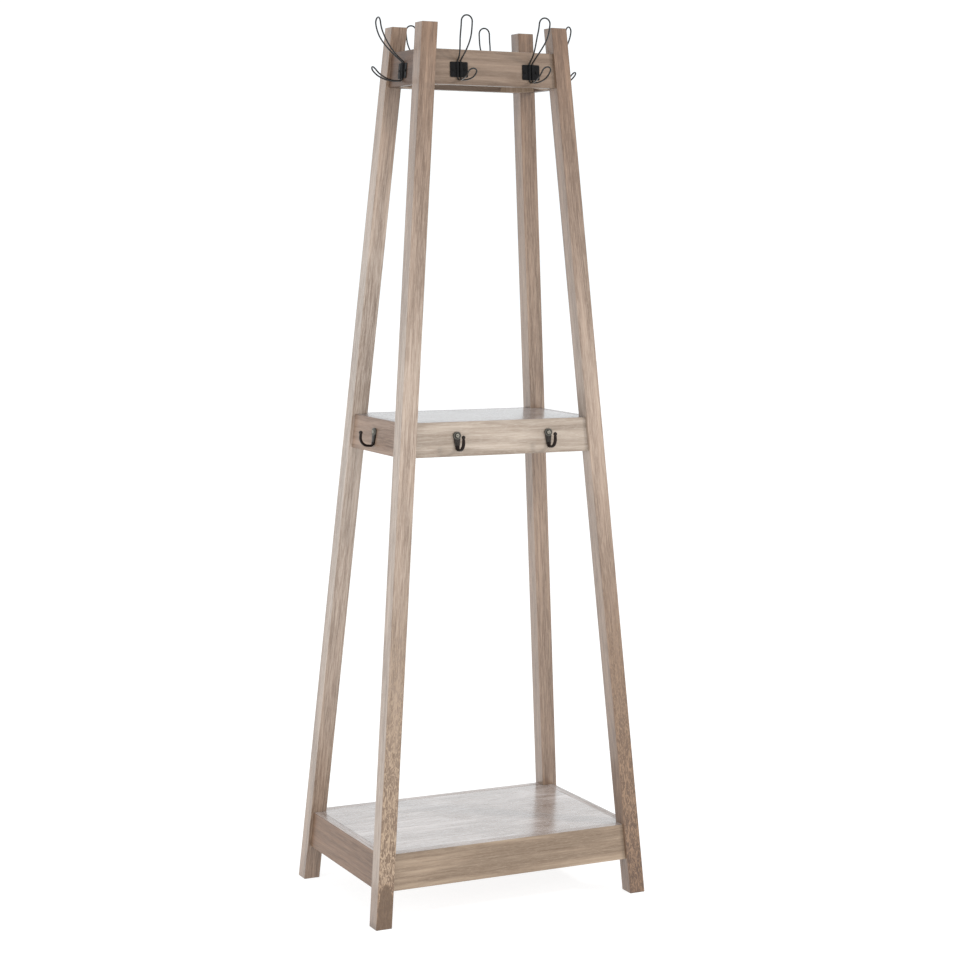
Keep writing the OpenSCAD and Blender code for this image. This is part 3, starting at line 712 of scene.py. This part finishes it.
# ---- Bracket screws ----
# A small black pan-head screw with a cross recess goes through each wing of a bracket. Those
# of one hook never line up, because each is driven home by hand.
PAN_R = 0.003
PAN_H = 0.0021
PAN_SHANK_R = 0.0015
PAN_SHANK = 0.0135
CROSS_ARM = 0.0032
CROSS_W = 0.00064
CROSS_DEEP = 0.0009


def ring_of(radius, out, around):
    """A circle about a line that stands square to the rail, at a distance out."""
    turns = [2 * math.pi * j / around for j in range(around)]
    return [(radius * math.cos(a), -out, radius * math.sin(a)) for a in turns]


def screw_mesh(head_r, head_h, shank_r, shank, recess, spin):
    """A screw whose head stands off a face at -Y. recess(x, z) is how deep it is cut there."""
    around, rings = 40, 12
    points = []
    for k in range(rings + 1):
        share = 1 - k / rings
        stand = head_h * (0.42 + 0.58 * math.sqrt(max(0.0, 1 - (0.985 * share) ** 2)))
        for x, _, z in ring_of(head_r * share, 0.0, around):
            turned_x = x * math.cos(spin) - z * math.sin(spin)
            turned_z = x * math.sin(spin) + z * math.cos(spin)
            points.append((x, recess(turned_x, turned_z) - stand, z))
    shaft = [(head_r, 0.0), (shank_r, 0.0), (shank_r, 2 * shank_r - shank), (shank_r * 0.1, -shank)]
    for radius, out in shaft:
        points += ring_of(radius, out, around)
    faces = []
    for k in range(rings):
        for j in range(around):
            i = (j + 1) % around
            faces.append((k * around + j, k * around + i, (k + 1) * around + i, (k + 1) * around + j))
    # The head's rim is also where the shaft's rings start.
    order = [0] + [rings + 1 + k for k in range(len(shaft))]
    for a, b in zip(order, order[1:]):
        for j in range(around):
            i = (j + 1) % around
            faces.append((b * around + j, b * around + i, a * around + i, a * around + j))
    faces.append(tuple(order[-1] * around + j for j in range(around)))
    return points, faces


def cross_recess(x, z):
    """A cross of two slots."""
    narrow, wide = sorted((abs(x), abs(z)))
    return CROSS_DEEP if narrow < CROSS_W / 2 and wide < CROSS_ARM / 2 else 0.0


def gather(name, parts, finish, slot, *nodes):
    """Several small solids of one kind, each moved to its own seat, kept as one piece. Each has
    its own share of rubbing, from 0, untouched, to 1, polished."""
    points, faces, rubbed = [], [], []
    for (own, own_faces), seat, share in parts:
        start = len(points)
        points += [seat @ Vector(p) for p in own]
        faces += [tuple(start + i for i in face) for face in own_faces]
        rubbed += [share] * len(own)
    piece = new_piece(name, points, faces, Matrix.Identity(4), finish, slot, *nodes)
    marks = piece.data.attributes.new("rubbed", "FLOAT", "POINT")
    marks.data.foreach_set("value", rubbed)
    return piece


black_head = enamel("black_screw_head", (0.0050, 0.0045, 0.0042), (0.0100, 0.0092, 0.0088),
    73.0, 0.34, 0.14)
wing = (PLATE_W / 2 + PITCH / 2 + BEAD) / 2
screws = []
for n, (hook, seat) in enumerate(seats.items()):
    for k, x in enumerate((-wing, wing)):
        spin = 0.5 + 1.9 * n + 0.8 * k
        screw = screw_mesh(PAN_R, PAN_H, PAN_SHANK_R, PAN_SHANK, cross_recess, spin)
        screws.append((screw, seat @ Matrix.Translation((x, -SHEET, 0)), 0.3))
gather("bracket_screw_set", screws, black_head, "black_screw", "bracket_screws")


# ---- Cast hooks ----
# Small cast hooks sit round the middle frame. Each has a round head with a raised rim for its
# screw, a tapered leg, and a strap arm that sweeps out and up to a ball on a short neck. They
# are finished in dark bronze, rubbed bright on the rims and edges.
HEAD_R = 0.0085
FLAT_UP = 0.0074
CAST = 0.004
DROP = 0.0235
PLATE_FOOT = 0.009
ARM_W = 0.0066
ARM_T = 0.0054
FOOT_R = 0.0057
LEVEL = 0.006
SWEEP_R = 0.017
UPRIGHT = 0.009
BALL_R = 0.004
CAST_UP = 0.042


def skin(rings, around, mirrored=False):
    """The faces of a solid bar drawn through so many rings of points, with a flat cap at each
    end. mirrored is for rings that run clockwise as seen from the first one."""
    faces = []
    for k in range(rings - 1):
        for j in range(around):
            i = (j + 1) % around
            faces.append((k * around + j, (k + 1) * around + j, (k + 1) * around + i, k * around + i))
    faces.append(tuple(range(around)))
    faces.append(tuple(reversed(range((rings - 1) * around, rings * around))))
    return [tuple(reversed(face)) for face in faces] if mirrored else faces


def cast_head():
    """The round head, a little flatter at its top, with a rim and a shallow dish."""
    around = 56
    profile = [(HEAD_R * 0.995, 0.0), (HEAD_R, 0.0004), (HEAD_R, 0.0026), (0.0082, 0.0034),
        (0.0077, 0.0041), (0.0070, 0.0045), (0.0063, 0.0044), (0.0057, 0.0040), (0.0052, 0.0037),
        (0.0046, 0.0036), (0.0010, 0.0036)]
    points = []
    for radius, out in profile:
        for x, y, z in ring_of(radius, out, around):
            points.append((x, y, FLAT_UP + 0.25 * (z - FLAT_UP) if z > FLAT_UP else z))
    return points, skin(len(profile), around, mirrored=True)


def cast_leg():
    """The tapered leg below the head, with a step under it and rounded edges."""
    foot = PLATE_FOOT / 2
    neck, step = 0.0067, 0.0082
    # Height, half width and thickness of each row, from under the head down to the foot.
    rows = [(-0.0045, 0.0068, 0.82), (-0.0062, 0.0071, 0.82), (-0.0074, 0.0070, 0.86), (-step, neck, 0.97)]
    rows += [(-step - (DROP - step) * k / 6, neck - (neck - foot) * k / 6, 1.0) for k in range(1, 7)]
    edge = [(0.0, 1.0), (0.40, 1.0), (0.70, 0.985), (0.88, 0.92), (0.97, 0.80), (1.0, 0.62), (1.0, 0.0)]
    section = [(-s, t) for s, t in reversed(edge)] + edge[1:]
    points = []
    for z, half, thick in rows:
        points += [(s * half, -t * thick * CAST, z) for s, t in section]
    return points, skin(len(rows), len(section))


def arm_line():
    """The arm's middle line from the leg's foot to the neck, as (out, up, lean)."""
    line = [(ARM_T / 2, -DROP + 0.003 - 0.0015 * k, 0.0) for k in range(2)]
    out, up = ARM_T / 2 + FOOT_R, -DROP
    for k in range(11):
        a = math.radians(180 + 90 * k / 10)
        line.append((out + FOOT_R * math.cos(a), up + FOOT_R * math.sin(a), a - math.pi))
    line += [(out + LEVEL * k / 4, up - FOOT_R, math.pi / 2) for k in range(1, 4)]
    out, up = out + LEVEL, up - FOOT_R + SWEEP_R
    for k in range(21):
        a = math.radians(270 + 90 * k / 20)
        line.append((out + SWEEP_R * math.cos(a), up + SWEEP_R * math.sin(a), a - math.pi))
    neck = UPRIGHT - BALL_R * 0.7
    return line + [(out + SWEEP_R, up + neck * k / 5, math.pi) for k in range(1, 6)]


def cast_arm():
    """The arm: a flat, round-edged bar that leaves the leg's foot at its full width, bends out
    and sweeps up, and narrows to a neck under the ball."""
    around = 20
    line = arm_line()
    points = []
    for k, (out, up, lean) in enumerate(line):
        far_along = k / (len(line) - 1)
        flare = max(0.0, 1 - far_along / 0.34)
        neck = max(0.0, (far_along - 0.80) / 0.20) ** 2
        half_w = ARM_W / 2 * (1 - 0.26 * neck) + (PLATE_FOOT - ARM_W) / 2 * flare
        half_t = ARM_T / 2 * (0.88 + 0.12 * min(1.0, far_along / 0.5) - 0.10 * neck)
        for j in range(around):
            a = 2 * math.pi * j / around
            x = half_w * math.copysign(abs(math.cos(a)) ** 0.62, math.cos(a))
            t = half_t * math.copysign(abs(math.sin(a)) ** 0.72, math.sin(a))
            points.append((x, -(out + t * math.cos(lean)), up + t * math.sin(lean)))
    return points, skin(len(line), around, mirrored=True)


def cast_ball():
    """The ball on the arm's end, with a small collar under it."""
    around = 28
    out = ARM_T / 2 + FOOT_R + LEVEL + SWEEP_R
    middle = -DROP - FOOT_R + SWEEP_R + UPRIGHT
    profile = [(0.0022, -0.0058), (0.0029, -0.0053), (0.0032, -0.0047), (0.0029, -0.0041), (0.0024, -0.0036)]
    for k in range(17):
        a = math.radians(-52 + 140 * k / 16)
        profile.append((BALL_R * math.cos(a), BALL_R * 0.98 * math.sin(a)))
    profile.append((0.00005, BALL_R * 0.98))
    points = []
    for radius, up in profile:
        for x, _, y in ring_of(radius, 0.0, around):
            points.append((x, -out - y, middle + up))
    return points, skin(len(profile), around)


def antique(name, dark, rubbed, seed):
    """Dark bronze over cast iron: nearly black on the arm, mottled and pitted, and rubbed to pale
    metal on the head, the leg and the edges."""
    finish, surface = new_finish(name)
    own = grain_place(finish, (0, 0, 1), seed)
    mottle = ramp(finish, grained(finish, own, 420, 420, 4.0, 0.6), 0.40, 0.62)
    pit = grained(finish, own, 1500, 1500, 3.0)
    share = add(finish, "ShaderNodeAttribute", attribute_name="rubbed").outputs["Fac"]
    edge = worn_edge(finish, 0.0012, 0.015, 0.22)
    smooth = reckon(finish, "ADD", 0.55, product(finish, mottle, 0.25))
    rub = reckon(finish, "ADD", product(finish, edge, 0.30), smooth)
    colour = blend_colours(finish, mottle, dark, tuple(1.6 * v for v in dark))
    colour = blend_colours(finish, product(finish, rub, share), colour, rubbed)
    # Painted shade, near black, in the hollows and where the parts meet.
    colour = rubbed_in(finish, painted_crevice_shade(finish, 0.002), 0.8, colour, (0.010, 0.008, 0.006))
    join(finish, colour, surface.inputs["Base Color"])
    surface.inputs["Metallic"].default_value = 0.9
    join(finish, ramp(finish, pit, 0.3, 0.7, 0.24, 0.46), surface.inputs["Roughness"])
    relief(finish, surface, pit, 0.00012)
    return finish


bronze = antique("antique_bronze", (0.015, 0.010, 0.009), (0.30, 0.295, 0.26), 81.0)
cast_seats = {}
for hook, side in HOOKS.items():
    node = "cast_hook_" + hook
    seat = rail_seat(side, "middle_rail_" + SIDES[side], along_side(side, node), CAST_UP)
    cast_seats[hook] = seat
    # The head is rubbed the most, the arm hardly at all.
    parts = [(cast_head(), seat, 0.58), (cast_leg(), seat, 0.17), (cast_arm(), seat, 0.02),
        (cast_ball(), seat, 0.08)]
    gather("cast_hook_body_" + hook, parts, bronze, "antique_cast", node)


# ---- Cast hook screws ----
# One round-head screw with a single slot holds each cast hook to its rail. It is finished like
# the hook, and its head is rubbed to bare metal by the driver and by hands.
ROUND_R = 0.0041
ROUND_H = 0.0026
ROUND_SHANK_R = 0.00175
ROUND_SHANK = 0.015
SLOT_W = 0.0009
SLOT_DEEP = 0.0010
DISH_OUT = 0.0035


def slot_recess(x, z):
    return SLOT_DEEP if abs(z) < SLOT_W / 2 else 0.0


screw_finish = antique("antique_screw", (0.10, 0.09, 0.075), (0.50, 0.47, 0.40), 82.0)
screws = []
for n, seat in enumerate(cast_seats.values()):
    screw = screw_mesh(ROUND_R, ROUND_H, ROUND_SHANK_R, ROUND_SHANK, slot_recess, 0.4 + 0.9 * n)
    screws.append((screw, seat @ Matrix.Translation((0, -DISH_OUT, 0)), 0.9))
gather("cast_hook_screw_set", screws, screw_finish, "cast_hook_screw", "cast_hook_screws")


# ---- Floor, light and camera ----
# The rack stands on a plain pale floor in a white room, lit by soft lamps at the front right and
# in front, a cooler one on its left, and the room itself.
FLOOR = 30.0
corners = [(-FLOOR, -FLOOR, 0), (FLOOR, -FLOOR, 0), (FLOOR, FLOOR, 0), (-FLOOR, FLOOR, 0)]
floor_mesh = bpy.data.meshes.new("floor")
floor_mesh.from_pydata(corners, [], [(0, 1, 2, 3)])
floor = bpy.data.objects.new("floor", floor_mesh)
bpy.context.scene.collection.objects.link(floor)
pale, surface = new_finish("pale_floor")
speck = grained(pale, grain_place(pale, (0, 0, 1), 91.0), 3.0, 3.0, 3.0)
join(pale, blend_colours(pale, speck, (0.27, 0.27, 0.27), (0.29, 0.29, 0.29)), surface.inputs["Base Color"])
surface.inputs["Roughness"].default_value = 0.8
surface.inputs["Emission Color"].default_value = (1, 1, 1, 1)
surface.inputs["Emission Strength"].default_value = 0.83
floor_mesh.materials.append(pale)

# The room's walls look white, also as a reflection, and light the rack a little less than they look.
room = bpy.data.worlds.new("white_room")
room.use_nodes = True
walls = room.node_tree.nodes["Background"]
walls.inputs["Color"].default_value = (0.95, 0.98, 1.0, 1)
seen = room.node_tree.nodes.new("ShaderNodeLightPath")
either = room.node_tree.nodes.new("ShaderNodeMath")
either.operation = "MAXIMUM"
room.node_tree.links.new(seen.outputs["Is Camera Ray"], either.inputs[0])
room.node_tree.links.new(seen.outputs["Is Glossy Ray"], either.inputs[1])
level_of_light = room.node_tree.nodes.new("ShaderNodeMapRange")
level_of_light.inputs["To Min"].default_value = 0.75
level_of_light.inputs["To Max"].default_value = 1.1
room.node_tree.links.new(either.outputs[0], level_of_light.inputs["Value"])
room.node_tree.links.new(level_of_light.outputs["Result"], walls.inputs["Strength"])
bpy.context.scene.world = room


def lamp(name, place, up, size, power, colour=(1.0, 1.0, 1.0)):
    """A soft round lamp that aims at the rack's middle line, so high up. It lights the rack, but
    the wax and the metal mirror only the room."""
    light = bpy.data.lights.new(name, "AREA")
    light.shape = "DISK"
    light.size = size
    light.energy = power
    light.color = colour
    holder = bpy.data.objects.new(name, light)
    bpy.context.scene.collection.objects.link(holder)
    holder.location = place
    holder.visible_glossy = False
    aim = Vector((0, 0, up)) - Vector(place)
    holder.rotation_euler = aim.to_track_quat("-Z", "Y").to_euler()


lamp("soft_key", (3.4, -2.9, 3.1), 1.1, 0.6, 120)
lamp("front_fill", (-0.6, -4.7, 2.7), 1.0, 1.6, 62)
lamp("left_fill", (-4.4, -1.2, 1.6), 1.0, 2.4, 100, (0.90, 0.95, 1.0))
bpy.context.scene.view_settings.view_transform = "Standard"

# The camera stands at the rack's front left, a little above its middle, and looks slightly down.
CAMERA = Vector((-1.9878, -4.0509, 1.3858))
TURN = math.radians(-26.270)
DIP = math.radians(-6.468)
TILT = math.radians(0.409)
away = Vector((-math.sin(TURN) * math.cos(DIP), math.cos(TURN) * math.cos(DIP), math.sin(DIP)))
level = Vector((math.cos(TURN), math.sin(TURN), 0))
upright = level.cross(away)
right = math.cos(TILT) * level + math.sin(TILT) * upright
upward = math.cos(TILT) * upright - math.sin(TILT) * level
lens = bpy.data.cameras.new("view")
lens.lens = 81.68
lens.sensor_width = 36
lens.clip_end = 100
viewer = bpy.data.objects.new("view", lens)
bpy.context.scene.collection.objects.link(viewer)
facing = Matrix((right, upward, -away)).transposed().to_4x4()
viewer.matrix_world = Matrix.Translation(CAMERA) @ facing
bpy.context.scene.camera = viewer
